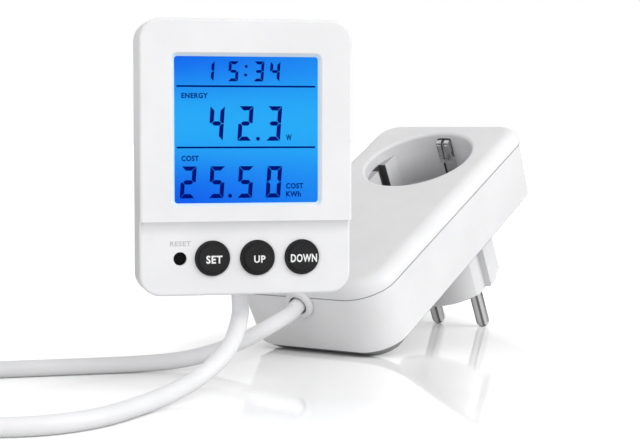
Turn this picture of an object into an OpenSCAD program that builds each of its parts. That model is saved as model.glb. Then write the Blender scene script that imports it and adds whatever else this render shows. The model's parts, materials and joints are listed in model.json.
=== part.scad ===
// Energy monitor: a plug-through metering adapter, a corded display and the cord between them.
// The adapter leans on its two plug pins and its front lower edge, and the display stands upright in front.

/* [Adapter body] */
// Length over the front and back walls at the parting line
adapter_l = 113; // [108:1:125]
// Width over the side walls at the parting line
adapter_w = 59; // [57:0.5:66]
// Distance from the socket axis to the back wall
socket_back = 28; // [27:0.5:32]
// Height of the cover above the parting line
cover_h = 5.2; // [5:0.1:7]
// Height of the base below the parting line
base_h = 24.2; // [23.8:0.2:28]
// Wall thickness of the cover and the base
wall = 2.2; // [1.8:0.1:2.6]
// Plan radius of the front corners
front_corner_r = 13; // [11:0.5:15]
// Plan radius of the back corners
back_corner_r = 9; // [8:0.5:11]
// Radius of the soft edge round the cover
cover_edge_r = 4.5; // [3:0.1:4.8]
// How far the base draws in from the parting line to the chamfer
base_taper = 1; // [0.4:0.1:1.6]
// Chamfer round the bottom of the base
base_chamfer = 3.8; // [2.5:0.1:4.5]

/* [Socket] */
// Diameter of the socket recess
socket_d = 39; // [38.5:0.1:40]
// Depth of the socket recess
socket_depth = 17.5; // [17:0.1:18]
// Wall thickness of the cup round the recess
cup_wall = 1.8; // [1.4:0.1:2.2]
// Distance between the two contact axes and between the two pins
pin_spacing = 19; // [18.8:0.1:19.4]
// Diameter of the contact holes in the floor of the recess
contact_hole_d = 6; // [5.6:0.1:6.6]
// Bore of the spring contacts
contact_bore_d = 4.88; // [4.86:0.01:5.2]
// Radius of the rolled rim round the recess
rim_r = 1.2; // [0.6:0.1:1.6]
// Distance between the two guide flats in the recess
guide_flats = 33; // [32.6:0.1:34]
// Depth of the guide flats' top below the cover's top
guide_depth = 4.2; // [3.4:0.1:5]
// Width of the guide slot in each flat
guide_slot_w = 5; // [4.8:0.1:6]
// Width of the earth clips
clip_w = 5; // [4:0.2:6]
// Sheet thickness of the earth clips and the connecting bars
sheet_t = 0.8; // [0.6:0.05:1]

/* [Plug] */
// Diameter of the plug boss
boss_d = 37.5; // [36:0.1:38]
// Height of the plug boss below the base
boss_h = 21.9; // [20:0.1:24]
// Diameter of the plug pins
pin_d = 4.8; // [4.76:0.01:4.84]
// Length of the plug pins below the boss
pin_l = 19; // [18.5:0.1:19.5]
// Distance between the two guide flats on the boss
boss_flats = 32.4; // [31:0.1:32.4]
// Width of the guide rib on each flat of the boss
boss_rib_w = 4.6; // [4:0.1:4.6]

/* [Display] */
// Width of the display
display_w = 60.4; // [58:0.2:66]
// Height of the display
display_h = 77.6; // [76:0.2:84]
// Thickness of the display over the screen section
display_t = 18; // [17.6:0.2:22]
// Depth of the front cover behind the face of the screen section
front_t = 10; // [9.8:0.2:11]
// Wall thickness of the display covers
display_wall = 2; // [1.8:0.1:2.2]
// Corner radius of the display outline
display_corner_r = 6; // [5:0.2:7]
// Radius of the front edge
front_edge_r = 0.8; // [0.4:0.1:1.2]
// Radius of the back edge
back_edge_r = 3; // [1.5:0.1:3.6]
// Height of the sunk key panel
key_panel_h = 21; // [20:0.2:22]
// How far the key panel lies behind the screen section
key_panel_step = 2.2; // [1.6:0.1:2.6]
// Width of the viewing window
window_w = 40.9; // [38:0.1:42]
// Height of the viewing window
window_h = 41; // [38:0.1:42]
// Lower edge of the viewing window above the key panel
window_rise = 5.1; // [4.8:0.1:6]
// Width of the bevel round the window
bevel_w = 1.1; // [0.6:0.1:1.5]

/* [Keys] */
// Diameter of the three large keys
key_d = 9.7; // [9:0.1:10.4]
// Height of the key row above the display's bottom
key_z = 10.5; // [10:0.1:11.5]
// Left-most large key, from the middle of the display
first_key_x = -9.65; // [-10.5:0.05:-9]
// Distance between the large keys
key_pitch = 12.85; // [12.4:0.05:13.2]
// How far a large key stands out of the key panel
key_rise = 1.3; // [0.9:0.1:1.6]
// Travel of a large key
key_travel = 0.7; // [0.4:0.1:0.8]
// Hole of the sunk reset key
reset_hole_d = 3.8; // [3.4:0.1:4.4]
// Place of the reset key, from the middle of the display
reset_x = -18.8; // [-20:0.1:-18]
// Clearance round a key in its hole
key_gap = 0.2; // [0.1:0.05:0.3]

/* [Stand] */
// Width of the fold-out stand
stand_w = 33; // [28:0.5:34]
// Length of the stand from its hinge to its free end
stand_l = 48; // [40:0.5:50]
// Thickness of the stand
stand_t = 2; // [1.6:0.1:2.2]
// Height of the stand's hinge above the display's bottom
stand_hinge_z = 64; // [58:0.5:66]
// Diameter of the stand's two pivots
stand_pivot_d = 1.6; // [1.2:0.1:1.8]

/* [Cord] */
// Diameter of the cord
cord_d = 5; // [4.6:0.1:5]
// Radius of the coil's outer turn at the middle of the cord
coil_r = 37; // [35:0.5:39]
// Turns in the coil, over both layers
coil_turns = 7.5; // [5.5:2:7.5]
// Free space between neighbouring turns
coil_gap = 0.6; // [0.5:0.05:0.8]

/* [Layout] */
// Turn of the adapter's long axis from the display's width
adapter_turn = 42.5; // [40:0.5:45]
// Point midway between the pin tips, along
plug_x = 57.3; // [56:0.1:60]
// Point midway between the pin tips, across
plug_y = 54.4; // [53:0.1:58]
// Middle of the display's face, along
display_x = -46.7; // [-50:0.1:-46]
// Face of the screen section, across
display_y = -75.4; // [-79:0.1:-75]
// Height of the display's bottom above the surface
display_lift = 26.6; // [25:0.1:28]

/* [Hidden] */
$fn = 64;

// Shared clearances: a loose seat, a screw in its hole, a cutting shape past the face it opens
slip = 0.15;
screw_gap = 0.05;
cut = 1;
bite = 0.5;
seam = 0.22;
board_t = 1.6;

// Adapter, in its own frame: x along the body towards the back, z out of the socket, origin on the socket
// axis in the plane of the cover's top
front_x = socket_back - adapter_l;
parting_z = -cover_h;
bottom_z = parting_z - base_h;
floor_z = bottom_z + wall;
inner_chamfer = base_chamfer - wall + wall * tan(22.5);
boss_r = boss_d / 2;
boss_rim = 0.9;
boss_z = bottom_z - boss_h;
tip_z = boss_z - pin_l;
tip_r = pin_d / 2;
pin_root_d = pin_d - 1.2;
flange_r = boss_r + 3;
flange_z = floor_z + wall;
cup_r = socket_d / 2 + cup_wall;
cup_z = -socket_depth - cup_wall;

// Earth strip: a strap under the cup and two rolled clips in slots of its wall
strap_z = cup_z - sheet_t;
clip_in = socket_d / 2 - 2.3;
clip_out = socket_d / 2 + 1.3;
clip_roll_r = (clip_out - clip_in) / 2;
clip_top = -4.2;
clip_end = -11;
clip_slit_w = 1.2;
slot_gap = 0.3;
clip_house_t = 4.2;
clip_house_w = clip_w + 5;
earth_w = clip_w - 0.4;
earth_lead = 2;

// The lean at which the pin tips and the front edge of the base both touch the surface
edge_x = -front_x - base_taper - base_chamfer;
drop = -tip_z - tip_r + bottom_z;
lean = atan2(drop, edge_x) + asin(tip_r / norm([drop, edge_x]));

// Screws of the adapter and the posts they go through, x and y
adapter_screw_r = 1.5;
adapter_head_r = adapter_screw_r + 1.3;
adapter_head_t = 2;
adapter_pilot = 2.4;
screw_tip = 2;
screw_sink = 10;
adapter_post_r = 3.1;
base_post_r = adapter_post_r + 1.1;
back_post = [socket_back - 10, adapter_w / 2 - 8.5];
front_post = [front_x + front_corner_r, adapter_w / 2 - 11.5];
adapter_posts = [for (p = [back_post, front_post], side = [-1, 1]) [p.x, side * p.y]];

// Metering board in the long end of the adapter, on four rests
board_z = floor_z + 6.2;
board_top = board_z + board_t;
board_front = front_x + wall + base_taper + 1.6;
board_back = -cup_r - 2;
board_l = board_back - board_front;
board_w = adapter_w - 2 * (wall + base_taper) - 3;
rest_r = 2.5;
rest_y = adapter_w / 2 - 10;
board_rests = [for (x = [board_back - 0.1 * board_l, board_back - 0.6 * board_l], side = [-1, 1])
    [x, side * rest_y]];

// Spring contacts, each with a bar to the board
contact_r = contact_bore_d / 2 + 1.4;
contact_l = 18.4;
contact_cap = 1;
contact_slit_w = 0.8;
contact_collar = 0.9;
well_z = cup_z - contact_l;
bar_z = board_z - sheet_t;
bar_w = 5;
bar_end = board_back - 8;

// Grommet and cord clamp in the adapter
grommet_z = parting_z - 2.2;
grommet_bore_r = cord_d / 2 + 0.7;
grommet_neck_r = grommet_bore_r + 0.8;
grommet_collar_r = grommet_bore_r + 1.8;
grommet_collar_t = 1.6;
grommet_back_t = 1;
clamp_x = front_x + 9;
clamp_t = 5;
clamp_w = 14;
clamp_top = grommet_z + cord_d / 2 + 1.6;

// Display, in its own frame: x to the right, y to the back, z up, origin at the foot of the screen face
key_face = key_panel_step;
key_back = key_face + display_wall;
cove_r = 1.8;
window_z = key_panel_h + window_rise;
window_mid = window_z + window_h / 2;
window_y = display_wall / 2;
window_corner = 0.9;
lens_lap = 1.1;
lens_gap = 0.1;

// Display panel: it stands on the lower rail of a frame that is open at the top
lcd_side = 1.6;
lcd_under = 1.9;
lcd_over = 0.3;
lcd_w = window_w + 2 * lcd_side;
lcd_z = window_z - lcd_under;
lcd_h = lcd_under + window_h + lcd_over;
lcd_t = 2.8;
lcd_back = display_wall + lcd_t;
strip_h = lcd_under - 0.3;
strip_side = 2;
light_z = lcd_z + strip_h + 0.2;
frame_t = 0.9;
frame_gap = 0.1;
frame_out = frame_t + frame_gap;
screen_inside_z = lcd_z - frame_out - 0.2;

// Display board with the parts on its back
pcb_y = front_t - board_t - 0.4;
pcb_back = pcb_y + board_t;
pcb_margin = display_wall + 0.5;
cell_x = -display_w / 6;
cell_z = 0.645 * display_h;
cell_r = 6.25;
cell_t = 3;
driver_x = display_w / 6;
driver_side = 12;

// Screws of the display and the posts they go through, x and z
post_r = 2.2;
post_gap = 0.3;
rear_post_r = post_r + 0.8;
post_x = display_w / 2 - 4;
display_screw_r = 1.1;
display_head_r = display_screw_r + 0.9;
display_head_t = 1.4;
display_head_y = front_t + 3;
display_screw_l = 4.6;
display_posts = [for (x = [-post_x, post_x], z = [4.6, display_h - 4.2]) [x, z]];

// Keys: a cap in the panel, a flange behind it and a switch on the board
key_places = [reset_x, for (i = [0:2]) first_key_x + i * key_pitch];
key_edge_r = 0.5;
key_flange_t = 0.8;
key_flange_y = key_back + key_gap;
key_flange_r = key_d / 2 + 0.9;
reset_flange_r = reset_hole_d / 2 + 0.9;
reset_sink = 0.9;
switch_side = 6;
switch_t = 1.6;
switch_r = 1.6;
switch_gap = 0.05;
switch_y = key_flange_y + key_flange_t + key_travel + switch_gap;

// Stand in its pocket, and the cord's way into the display
stand_gap = 0.5;
stand_axis_y = display_t - stand_t / 2 - 0.1;
stand_pivot_l = 1;
pivot_gap = 0.1;
pocket_t = stand_t + 0.5;
pocket_x = stand_w / 2 + stand_gap;
pocket_low = stand_hinge_z - stand_l - stand_gap;
pocket_top = stand_hinge_z + stand_t / 2 + stand_gap;
pocket_y = display_t - pocket_t;
pocket_wall = 1.4;
scoop_r = 8;
scoop_t = 1.2;
cord_y = pcb_back + cord_d / 2 + 0.7;
cord_hole_r = cord_d / 2 + 0.2;
cord_grip_r = cord_d / 2 + 0.1;
cord_clamp_w = 12;
cord_clamp_h = 5;
cord_clamp_z = display_wall + 2.4;

// Places in the row frame of points given in the adapter's frame
function adapter_point(p) = let (
    h = p.z - tip_z - tip_r,
    along = p.x * cos(lean) - h * sin(lean),
    up = p.x * sin(lean) + h * cos(lean))
    [plug_x + along * cos(adapter_turn) - p.y * sin(adapter_turn),
     plug_y + along * sin(adapter_turn) + p.y * cos(adapter_turn),
     tip_r + up];

// Coil: in along the lower layer, up at the inner turn, out along the upper layer
coil_x = -166;
coil_y = -81;
tie_t = 0.9;
tie_w = 4;
tie_gap = 0.35;
coil_pitch = cord_d + coil_gap;
coil_z = tie_t + tie_gap + cord_d / 2;
coil_lead = 6;
coil_half = coil_turns / 2;
coil_sides = 6;
coil_rings = 24;
coil_in = [coil_x + coil_lead, coil_y + coil_r, coil_z];
coil_out = [coil_x + coil_lead, coil_y - coil_r, coil_z + coil_pitch];
function climb(t) = let (s = min(max((t - coil_half + 0.25) / 0.5, 0), 1)) s * s * (3 - 2 * s);
function coil_place(t) = let (r = coil_r - coil_pitch * (coil_half - abs(coil_half - t)))
    [coil_x + r * cos(90 + 360 * t), coil_y + r * sin(90 + 360 * t), coil_z + coil_pitch * climb(t)];
coil_path = concat([coil_in],
    [for (i = [0:coil_turns * coil_rings]) coil_place(i / coil_rings)], [coil_out]);

// Cord routes between the housings and the coil, chosen along the cord's middle
REAR_POINTS = [[-34.2, -29.8, 10.6], [-42.8, -32.6, 7.2], [-51.2, -34.4, 4.8], [-60.8, -36, 3.2],
    [-72.8, -37.2, 2.6], [-88, -38, 2.5], [-106, -39, 2.5], [-124, -40.6, 2.6], [-142, -43, 3.2]];
FRONT_POINTS = [[-142, -121, 7], [-132, -127, 4.4], [-120, -132, 2.6], [-106, -132.6, 2.5],
    [-92.4, -124.8, 2.5], [-80, -109, 2.6], [-70.4, -95.8, 3.4], [-62, -85.8, 5.6],
    [-55, -77.8, 9.2], [-50, -70.2, 13.6]];
rear_route = concat(
    [for (x = [clamp_x + clamp_t + 1, front_x - 2, front_x - 7]) adapter_point([x, 0, grommet_z])],
    REAR_POINTS, [coil_in + [coil_lead, 0, 0], coil_in]);
front_route = concat([coil_out, coil_out + [coil_lead, 0, 0]], FRONT_POINTS,
    [for (z = [-7, -1, 5, 11]) [display_x, display_y + cord_y, display_lift + z]]);
cord_sides = 8;
route_steps = 3;

// Tubes: a smooth path through chosen points, and a closed skin of rings along a path
function curve(a, b, c, d, t) = 0.5 * (2 * b + (c - a) * t + (2 * a - 5 * b + 4 * c - d) * t * t
    + (3 * b - a - 3 * c + d) * t * t * t);
function smooth_path(p, n) = let (last = len(p) - 1) concat(
    [for (i = [0:last - 1], k = [0:n - 1])
        curve(p[max(i - 1, 0)], p[i], p[i + 1], p[min(i + 2, last)], k / n)], [p[last]]);
function unit(v) = v / norm(v);
function heading(p, i) = unit(p[min(i + 1, len(p) - 1)] - p[max(i - 1, 0)]);
function square_to(v, t) = unit(v - (v * t) * t);
function ring(p, i, u, r, sides) = let (t = heading(p, i), w = cross(t, u))
    [for (k = [0:sides - 1]) p[i] + r * (cos(360 * k / sides) * u + sin(360 * k / sides) * w)];

module tube(p, r, sides) {
    n = len(p);
    first = square_to([0.6, -0.7, 0.4], heading(p, 0));
    sides_u = [for (i = 0, u = first; i < n; i = i + 1, u = i < n ? square_to(u, heading(p, i)) : u) u];
    points = [for (i = [0:n - 1]) each ring(p, i, sides_u[i], r, sides)];
    skin = [for (i = [0:n - 2], k = [0:sides - 1]) let (a = i * sides + k, b = i * sides + (k + 1) % sides)
        each [[a, a + sides, b], [b, a + sides, b + sides]]];
    ends = [for (k = [1:sides - 2]) each [[0, k, k + 1],
        [(n - 1) * sides, (n - 1) * sides + k + 1, (n - 1) * sides + k]]];
    polyhedron(points, concat(skin, ends));
}

// Helpers for the housings
module fillet_corner(r) {
    difference() {
        translate([-cut, -r]) square([r + cut, r + cut]);
        translate([r, -r]) circle(r);
    }
}

// A block with two round corners at its +x end; the child is its wall section, drawn from the wall inwards
module rounded_half(length, width, corner, z0, z1) {
    for (side = [0, 1]) mirror([0, side, 0]) {
        translate([0, width / 2, 0]) rotate([90, 0, 90])
            linear_extrude(length - corner) mirror([1, 0]) children();
        translate([length - corner, width / 2 - corner, 0])
            rotate_extrude(angle = 90) translate([corner, 0]) mirror([1, 0]) children();
    }
    translate([length, width / 2 - corner, 0])
        rotate([90, 0, 0]) linear_extrude(width - 2 * corner) mirror([1, 0]) children();
    translate([0, corner - width / 2, z0]) cube([length - corner, width - 2 * corner, z1 - z0]);
}

module rounded_rect(length, width, r) {
    square([length - 2 * r, width], center = true);
    square([length, width - 2 * r], center = true);
    for (x = [-1, 1], y = [-1, 1]) translate([x * (length / 2 - r), y * (width / 2 - r)]) circle(r);
}

// A shape between the front and the back with the adapter's plan; both ends share one kind of wall section
module adapter_plan(inset, z0, z1, kind) {
    rounded_half(socket_back - inset, adapter_w - 2 * inset, back_corner_r - inset, z0, z1)
        wall_section(back_corner_r - inset, z0, z1, kind);
    mirror([1, 0, 0])
        rounded_half(-front_x - inset, adapter_w - 2 * inset, front_corner_r - inset, z0, z1)
            wall_section(front_corner_r - inset, z0, z1, kind);
}

module wall_section(depth, z0, z1, kind) {
    if (kind == "cover") difference() {
        polygon([[0, z0 + seam], [seam, z0], [depth, z0], [depth, z1], [0, z1]]);
        translate([0, z1]) fillet_corner(cover_edge_r);
    }
    if (kind == "base") polygon([[seam, z1], [0, z1 - seam], [base_taper, z0 + base_chamfer],
        [base_taper + base_chamfer, z0], [depth, z0], [depth, z1]]);
    if (kind == "base_inside") polygon([[0, z1], [base_taper, z0 + inner_chamfer],
        [base_taper + inner_chamfer, z0], [depth, z0], [depth, z1]]);
    if (kind == "plain") translate([0, z0]) square([depth, z1 - z0]);
}

module at_adapter() {
    translate([plug_x, plug_y, tip_r]) rotate([0, 0, adapter_turn]) rotate([0, -lean, 0])
        translate([0, 0, -tip_z - tip_r]) children();
}

module at_pins() {
    at_adapter() for (side = [-1, 1]) translate([0, side * pin_spacing / 2, 0]) children();
}

module at_adapter_posts() {
    for (p = adapter_posts) translate([p.x, p.y, 0]) children();
}

module grommet_hole() {
    translate([front_x - 3 * cut, 0, grommet_z]) rotate([0, 90, 0])
        cylinder(r = grommet_neck_r + pivot_gap, h = wall + 6 * cut);
}

// Adapter pieces
module socket_recess() {
    difference() {
        translate([0, 0, -socket_depth]) cylinder(d = socket_d, h = socket_depth + cut);
        for (side = [0, 1]) mirror([0, side, 0]) guide_flat();
    }
    rotate_extrude() translate([socket_d / 2, 0]) fillet_corner(rim_r);
}

module guide_flat() {
    height = socket_depth - guide_depth + cut;
    difference() {
        translate([-socket_d / 2, guide_flats / 2, -socket_depth - cut])
            cube([socket_d, socket_d / 2, height]);
        translate([-guide_slot_w / 2, 0, -socket_depth - 2 * cut])
            cube([guide_slot_w, socket_d, height + 2 * cut]);
    }
}

module clip_slot() {
    slot_top = clip_top + clip_roll_r + slot_gap;
    translate([clip_in - slot_gap, -clip_w / 2 - slot_gap, cup_z - cut])
        cube([clip_out - clip_in + 2 * slot_gap, clip_w + 2 * slot_gap, slot_top - cup_z + cut]);
}

module adapter_cover() {
    cup_top = -wall / 2;
    color("white") at_adapter() difference() {
        union() {
            difference() {
                adapter_plan(0, parting_z, 0, "cover");
                adapter_plan(wall, parting_z - cut, -wall, "plain");
            }
            translate([0, 0, cup_z]) cylinder(r = cup_r, h = cup_top - cup_z);
            for (side = [-1, 1]) translate([side * (cup_r - cut), 0, (cup_z + cup_top) / 2])
                cube([clip_house_t, clip_house_w, cup_top - cup_z], center = true);
            at_adapter_posts() translate([0, 0, parting_z])
                cylinder(r = adapter_post_r, h = cup_top - parting_z);
        }
        socket_recess();
        for (side = [-1, 1]) translate([0, side * pin_spacing / 2, cup_z - cut])
            cylinder(d = contact_hole_d, h = cup_wall + 2 * cut);
        for (side = [0, 1]) mirror([side, 0, 0]) clip_slot();
        at_adapter_posts() translate([0, 0, parting_z - cut])
            cylinder(r = adapter_screw_r + screw_gap, h = adapter_pilot + cut);
        grommet_hole();
    }
}

module adapter_base() {
    color("white") at_adapter() difference() {
        union() {
            difference() {
                adapter_plan(0, bottom_z, parting_z, "base");
                adapter_plan(wall, floor_z, parting_z + cut, "base_inside");
            }
            at_adapter_posts() translate([0, 0, floor_z - cut])
                cylinder(r = base_post_r, h = parting_z - floor_z + cut);
            for (p = board_rests) translate([p.x, p.y, floor_z - cut])
                cylinder(r = rest_r, h = board_z - floor_z + cut);
        }
        at_adapter_posts() translate([0, 0, bottom_z - cut]) {
            cylinder(r = adapter_screw_r + slip, h = base_h + 2 * cut);
            cylinder(r = adapter_head_r + slip, h = screw_sink + cut);
        }
        translate([0, 0, bottom_z - cut]) cylinder(r = boss_r + slip, h = wall + 2 * cut);
        grommet_hole();
    }
}

module plug_insert() {
    seat = floor_z - boss_z;
    top = flange_z - boss_z;
    color("white") at_adapter() difference() {
        translate([0, 0, boss_z]) rotate_extrude()
            polygon([[0, 0], [boss_r - boss_rim, 0], [boss_r, boss_rim], [boss_r, seat], [flange_r, seat],
                [flange_r, top], [0, top]]);
        for (side = [-1, 1]) translate([0, side * pin_spacing / 2, 0]) {
            translate([0, 0, well_z]) cylinder(r = contact_r + slip, h = flange_z - well_z + cut);
            translate([0, 0, boss_z - cut])
                cylinder(d = pin_root_d + 2 * screw_gap, h = well_z - boss_z + 2 * cut);
        }
        for (side = [0, 1]) {
            mirror([0, side, 0]) boss_flat();
            mirror([side, 0, 0]) translate([boss_r - sheet_t - 2 * slip, -earth_w / 2 - slip, boss_z - cut])
                cube([sheet_t + 3 * slip, earth_w + 2 * slip, top + 2 * cut]);
        }
    }
}

module boss_flat() {
    difference() {
        translate([-boss_r, boss_flats / 2, boss_z - cut]) cube([boss_d, boss_r, boss_h + cut]);
        translate([-boss_rib_w / 2, 0, boss_z - 2 * cut]) cube([boss_rib_w, boss_d, boss_h + 3 * cut]);
    }
}

module plug_pins() {
    color("silver") at_pins() {
        translate([0, 0, tip_z + tip_r]) cylinder(d = pin_d, h = pin_l - tip_r);
        translate([0, 0, tip_z + tip_r]) sphere(r = tip_r);
        translate([0, 0, boss_z]) cylinder(d = pin_root_d, h = well_z - boss_z);
    }
}

module plug_earth_contacts() {
    low = boss_z + earth_lead;
    color("silver") at_adapter() for (side = [0, 1]) mirror([side, 0, 0])
        translate([boss_r - sheet_t - slip, -earth_w / 2, low]) cube([sheet_t, earth_w, strap_z - low]);
}

module socket_earth_strip() {
    color("silver") at_adapter() {
        translate([-clip_out, -clip_w / 2, strap_z]) cube([2 * clip_out, clip_w, sheet_t]);
        for (side = [0, 1]) mirror([side, 0, 0]) difference() {
            translate([0, clip_w / 2, 0]) rotate([90, 0, 0]) linear_extrude(clip_w) clip_section();
            translate([clip_in - cut, -clip_slit_w / 2, clip_end + 2 * sheet_t])
                cube([clip_roll_r + cut, clip_slit_w, clip_top - clip_end + clip_roll_r]);
        }
    }
}

module clip_section() {
    translate([clip_out - sheet_t, strap_z]) square([sheet_t, clip_top - strap_z]);
    translate([clip_in, clip_end]) square([sheet_t, clip_top - clip_end]);
    translate([clip_in + clip_roll_r, clip_top]) difference() {
        circle(clip_roll_r);
        circle(clip_roll_r - sheet_t);
        translate([-clip_roll_r - cut, -2 * clip_roll_r]) square([2 * (clip_roll_r + cut), 2 * clip_roll_r]);
    }
}

module socket_contacts() {
    slit_z = bar_z + sheet_t + slot_gap;
    collar_r = contact_r + contact_collar;
    color("goldenrod") at_pins() difference() {
        union() {
            translate([0, 0, well_z]) cylinder(r = contact_r, h = contact_l);
            translate([0, 0, bar_z - contact_collar]) cylinder(r = collar_r, h = contact_collar);
        }
        translate([0, 0, well_z + contact_cap]) cylinder(d = contact_bore_d, h = contact_l);
        translate([-collar_r, -contact_slit_w / 2, slit_z]) cube([2 * collar_r, contact_slit_w, contact_l]);
    }
}

module supply_bar(side) {
    at_adapter() translate([0, side * pin_spacing / 2, bar_z]) difference() {
        union() {
            cylinder(r = contact_r + 2 * sheet_t, h = sheet_t);
            translate([bar_end, -bar_w / 2, 0]) cube([-bar_end, bar_w, sheet_t]);
        }
        translate([0, 0, -cut]) cylinder(r = contact_r + slip, h = sheet_t + 2 * cut);
    }
}

module live_bar() {
    color("goldenrod") supply_bar(1);
}

module neutral_bar() {
    color("goldenrod") supply_bar(-1);
}

module metering_board() {
    color("seagreen") at_adapter() difference() {
        translate([(board_front + board_back) / 2, 0, board_z])
            linear_extrude(board_t) rounded_rect(board_l, board_w, front_corner_r / 2);
        at_adapter_posts() translate([0, 0, board_z - cut])
            cylinder(r = base_post_r + slot_gap, h = board_t + 2 * cut);
    }
}

// Places on the board, as shares of its length from the back and of its width from the middle
module on_board(along, aside) {
    at_adapter() translate([board_back - along * board_l, aside * board_w, board_top]) children();
}

module shunt() {
    strap_l = 12;
    strap_w = 4;
    strap_h = 5;
    strap_t = 1;
    color("silver") on_board(0.25, 0) difference() {
        translate([-strap_l / 2, -strap_w / 2, 0]) cube([strap_l, strap_w, strap_h]);
        translate([strap_t - strap_l / 2, -strap_w, -cut])
            cube([strap_l - 2 * strap_t, 2 * strap_w, strap_h - strap_t + cut]);
    }
}

module dropper_capacitor() {
    size = [18, 8, 13];
    color("gold") on_board(0.49, 0.24) translate([-size.x / 2, -size.y / 2, 0]) cube(size);
}

module smoothing_capacitor() {
    can_r = 4;
    can_h = 12;
    color("navy") on_board(0.49, -0.24) cylinder(r = can_r, h = can_h);
}

module varistor() {
    disc_r = 5;
    disc_t = 4;
    color("royalblue") on_board(0.16, -0.28) translate([0, disc_t / 2, disc_r])
        rotate([90, 0, 0]) cylinder(r = disc_r, h = disc_t);
}

module meter_chip() {
    size = [10, 6, 1.8];
    color("dimgray") on_board(0.67, 0) translate([-size.x / 2, -size.y / 2, 0]) cube(size);
}

module adapter_screws() {
    color("gray") at_adapter() at_adapter_posts() translate([0, 0, bottom_z + screw_sink]) {
        translate([0, 0, -adapter_head_t]) cylinder(r = adapter_head_r, h = adapter_head_t);
        cylinder(r = adapter_screw_r, h = base_h - screw_sink + screw_tip);
    }
}

module cord_grommet() {
    neck_l = wall + base_taper / 2;
    neck_t = grommet_neck_r - grommet_bore_r;
    collar_w = grommet_collar_r - grommet_bore_r;
    color("white") at_adapter() translate([front_x, 0, grommet_z]) rotate([0, 90, 0]) rotate_extrude()
        difference() {
            translate([grommet_bore_r, -grommet_collar_t]) {
                square([collar_w, grommet_collar_t]);
                square([neck_t, grommet_collar_t + neck_l + grommet_back_t]);
                translate([0, grommet_collar_t + neck_l]) square([collar_w, grommet_back_t]);
            }
            translate([grommet_collar_r, -grommet_collar_t]) rotate(45) square(neck_t, center = true);
        }
}

module adapter_cord_clamp() {
    color("white") at_adapter() difference() {
        translate([clamp_x, -clamp_w / 2, board_top]) cube([clamp_t, clamp_w, clamp_top - board_top]);
        translate([clamp_x - cut, 0, grommet_z]) rotate([0, 90, 0])
            cylinder(r = cord_grip_r, h = clamp_t + 2 * cut);
    }
}

// Display pieces
module at_display() {
    translate([display_x, display_y, display_lift]) children();
}

module along_depth(x, z, y) {
    translate([x, y, z]) rotate([-90, 0, 0]) children();
}

module at_display_posts(y) {
    for (p = display_posts) along_depth(p.x, p.y, y) children();
}

// Turns a shape drawn flat, x up the display and z towards the viewer, upright
module upright() {
    rotate([90, 0, 0]) rotate([0, 0, 90]) children();
}

module display_outline(front_y, back_y, front_r, back_r) {
    upright() translate([display_h / 2, 0, 0]) for (end = [0, 1]) mirror([end, 0, 0])
        rounded_half(display_h / 2, display_w, display_corner_r, -back_y, -front_y) difference() {
            translate([0, -back_y]) square([display_corner_r, back_y - front_y]);
            translate([0, -front_y]) fillet_corner(front_r);
            translate([0, -back_y]) mirror([0, 1]) fillet_corner(back_r);
        }
}

module display_inside(front_y, back_y) {
    translate([0, back_y, display_h / 2]) rotate([90, 0, 0]) linear_extrude(back_y - front_y)
        rounded_rect(display_w - 2 * display_wall, display_h - 2 * display_wall,
            display_corner_r - display_wall);
}

module upper_part(z) {
    translate([-display_w, -cut, z]) cube([2 * display_w, front_t + 3 * cut, display_h]);
}

module window_cut() {
    translate([0, display_wall + cut, window_mid]) rotate([90, 0, 0]) {
        linear_extrude(display_wall + 2 * cut) rounded_rect(window_w, window_h, window_corner);
        linear_extrude(display_wall + cut - window_y)
            rounded_rect(window_w + 2 * lens_lap, window_h + 2 * lens_lap, window_corner);
    }
    outer = window_corner + bevel_w;
    upright() translate([window_mid, 0, 0]) for (end = [0, 1]) mirror([end, 0, 0])
        rounded_half(window_h / 2 + bevel_w, window_w + 2 * bevel_w, outer, -window_y, cut)
            polygon([[0, cut], [0, 0], [bevel_w, -window_y], [outer, -window_y], [outer, cut]]);
}

module key_holes() {
    depth = key_back + 2 * cut;
    for (i = [0:2]) along_depth(first_key_x + i * key_pitch, key_z, -cut)
        cylinder(d = key_d + 2 * key_gap, h = depth);
    along_depth(reset_x, key_z, -cut) cylinder(d = reset_hole_d, h = depth);
}

module cove() {
    translate([front_edge_r - display_w / 2, key_face, key_panel_h]) rotate([0, 90, 0]) rotate([0, 0, -90])
        linear_extrude(display_w - 2 * front_edge_r) mirror([1, 0]) difference() {
            square(cove_r);
            translate([cove_r, cove_r]) circle(cove_r);
        }
}

module display_front() {
    post_y = key_back - bite;
    upper_post_y = display_wall - bite;
    color("white") at_display() difference() {
        union() {
            difference() {
                union() {
                    display_outline(key_face, front_t, front_edge_r, seam);
                    intersection() {
                        display_outline(0, front_t, front_edge_r, seam);
                        upper_part(key_panel_h);
                    }
                    cove();
                }
                display_inside(key_back, front_t + cut);
                intersection() {
                    display_inside(display_wall, front_t + cut);
                    upper_part(screen_inside_z);
                }
            }
            at_display_posts(post_y) cylinder(r = post_r, h = front_t - post_y);
            for (p = display_posts) if (p.y > key_panel_h) along_depth(p.x, p.y, upper_post_y)
                cylinder(r = post_r, h = front_t - upper_post_y);
        }
        window_cut();
        key_holes();
        at_display_posts(key_back + bite) cylinder(r = display_screw_r + screw_gap, h = front_t);
    }
}

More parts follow.
